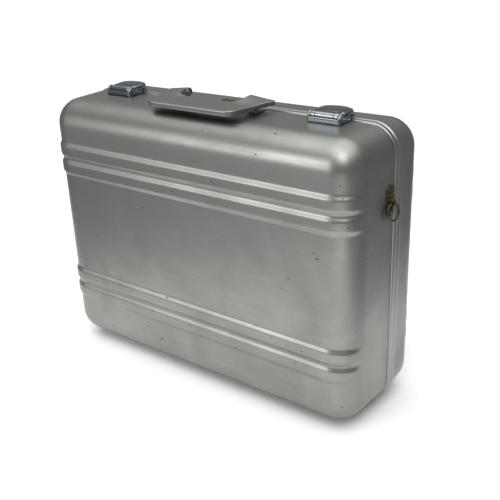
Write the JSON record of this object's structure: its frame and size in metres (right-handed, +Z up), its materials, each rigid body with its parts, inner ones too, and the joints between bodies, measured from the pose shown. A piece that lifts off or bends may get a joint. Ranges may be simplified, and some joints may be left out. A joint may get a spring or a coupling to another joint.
{
  "type": "hard shell suitcase",
  "caption": "Drawn aluminium hard shell suitcase with a lid hinged along its base, a fold-down handle, flip-up latches and strap rings.",
  "frame": {"origin": "centre of the base, on the surface that the feet stand on", "axes": "+X along the long side, +Y from the deep shell towards the lid, +Z up towards the handle"},
  "size_m": [0.5518, 0.187, 0.42],
  "materials": {
    "satin_aluminium": "satin drawn sheet with fine scratches",
    "extruded_aluminium": "bright extruded, lightly worn",
    "cast_aluminium": "matt casting, worn corners",
    "chrome_plate": "polished plate, lightly dulled",
    "plain_steel": "plain steel",
    "aged_brass": "darkened, bright where rubbed",
    "black_rubber": "matt",
    "lining_cloth": "woven cloth on a moulded liner"
  },
  "bodies": {
    "body": {"front_shell": "satin_aluminium", "body_frame": "extruded_aluminium", "gasket": "black_rubber", "body_lining": "lining_cloth", "body_feet": "black_rubber", "body_hinge_leaves": "plain_steel", "hinge_pins": "plain_steel", "latch_pins": "plain_steel", "latch_base_right": "chrome_plate", "latch_base_left": "chrome_plate", "handle_bracket_right": "plain_steel", "handle_bracket_left": "plain_steel", "handle_pins": "chrome_plate", "handle_springs": "plain_steel", "strap_plate_right": "aged_brass", "strap_plate_left": "aged_brass", "strap_rivets": "aged_brass"},
    "lid": {"rear_shell": "satin_aluminium", "lid_frame": "extruded_aluminium", "lid_lining": "lining_cloth", "lid_feet": "black_rubber", "lid_hinge_leaves": "plain_steel", "latch_strike_right": "chrome_plate", "latch_strike_left": "chrome_plate", "badge_plate": "aged_brass"},
    "handle": {"handle_grip": "cast_aluminium", "handle_liner": "cast_aluminium"},
    "lever_right": {"latch_lever_right": "chrome_plate", "latch_hook_right": "plain_steel"},
    "lever_left": {"latch_lever_left": "chrome_plate", "latch_hook_left": "plain_steel"},
    "ring_right": {"strap_ring_right": "aged_brass"},
    "ring_left": {"strap_ring_left": "aged_brass"}
  },
  "joints": [
    {"name": "lid_hinge", "type": "hinge", "parent": "body", "child": "lid", "pos_m": [0, 0.0071, 0.0036], "axis": [-1, 0, 0], "range_deg": [0, 100]},
    {"name": "handle_fold", "type": "hinge", "parent": "body", "child": "handle", "pos_m": [0, -0.0029, 0.413], "axis": [-1, 0, 0], "range_deg": [0, 92], "stiffness_Nm_per_rad": 0.12, "springref_deg": -22.92},
    {"name": "latch_right", "type": "hinge", "parent": "body", "child": "lever_right", "pos_m": [0.1805, -0.0144, 0.4085], "axis": [1, 0, 0], "range_deg": [0, 100]},
    {"name": "latch_left", "type": "hinge", "parent": "body", "child": "lever_left", "pos_m": [-0.1805, -0.0144, 0.4085], "axis": [1, 0, 0], "range_deg": [0, 100]},
    {"name": "ring_swing_right", "type": "hinge", "parent": "body", "child": "ring_right", "pos_m": [0.27045, -0.0034, 0.307], "axis": [-0.1392, -0.9903, 0], "range_deg": [0, 95]},
    {"name": "ring_swing_left", "type": "hinge", "parent": "body", "child": "ring_left", "pos_m": [-0.27045, -0.0034, 0.307], "axis": [-0.1392, 0.9903, 0], "range_deg": [0, 95]}
  ]
}
